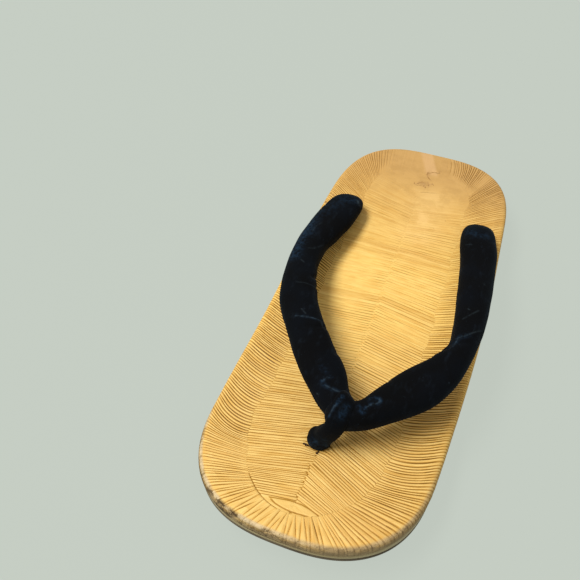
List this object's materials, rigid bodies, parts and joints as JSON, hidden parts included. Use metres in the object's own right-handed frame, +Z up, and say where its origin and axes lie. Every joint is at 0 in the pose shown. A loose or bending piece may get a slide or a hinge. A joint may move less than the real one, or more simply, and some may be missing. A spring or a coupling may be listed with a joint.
{
  "type": "geta sandal",
  "caption": "Flat-soled straw-faced wooden geta: outsole with toe spring, wooden base, woven mat, padded straps and a front thong loop.",
  "frame": {"origin": "on the ground, under the middle of the sandal's length and width", "axes": "+Z up, -Y towards the toe, +Y towards the heel, +X to the right for someone who faces the toe end"},
  "size_m": [0.0954, 0.2482, 0.0418],
  "materials": {
    "outsole": "dull, thin, worn brown sole sheet",
    "wood": "plain sanded wood, satin",
    "straw": "close-woven golden straw, slight sheen",
    "velvet": "dark navy velvet with a blue sheen"
  },
  "bodies": {
    "root": {"outsole": "outsole", "base": "wood", "mat": "straw", "straps": "velvet", "front_thong": "velvet"}
  },
  "joints": []
}
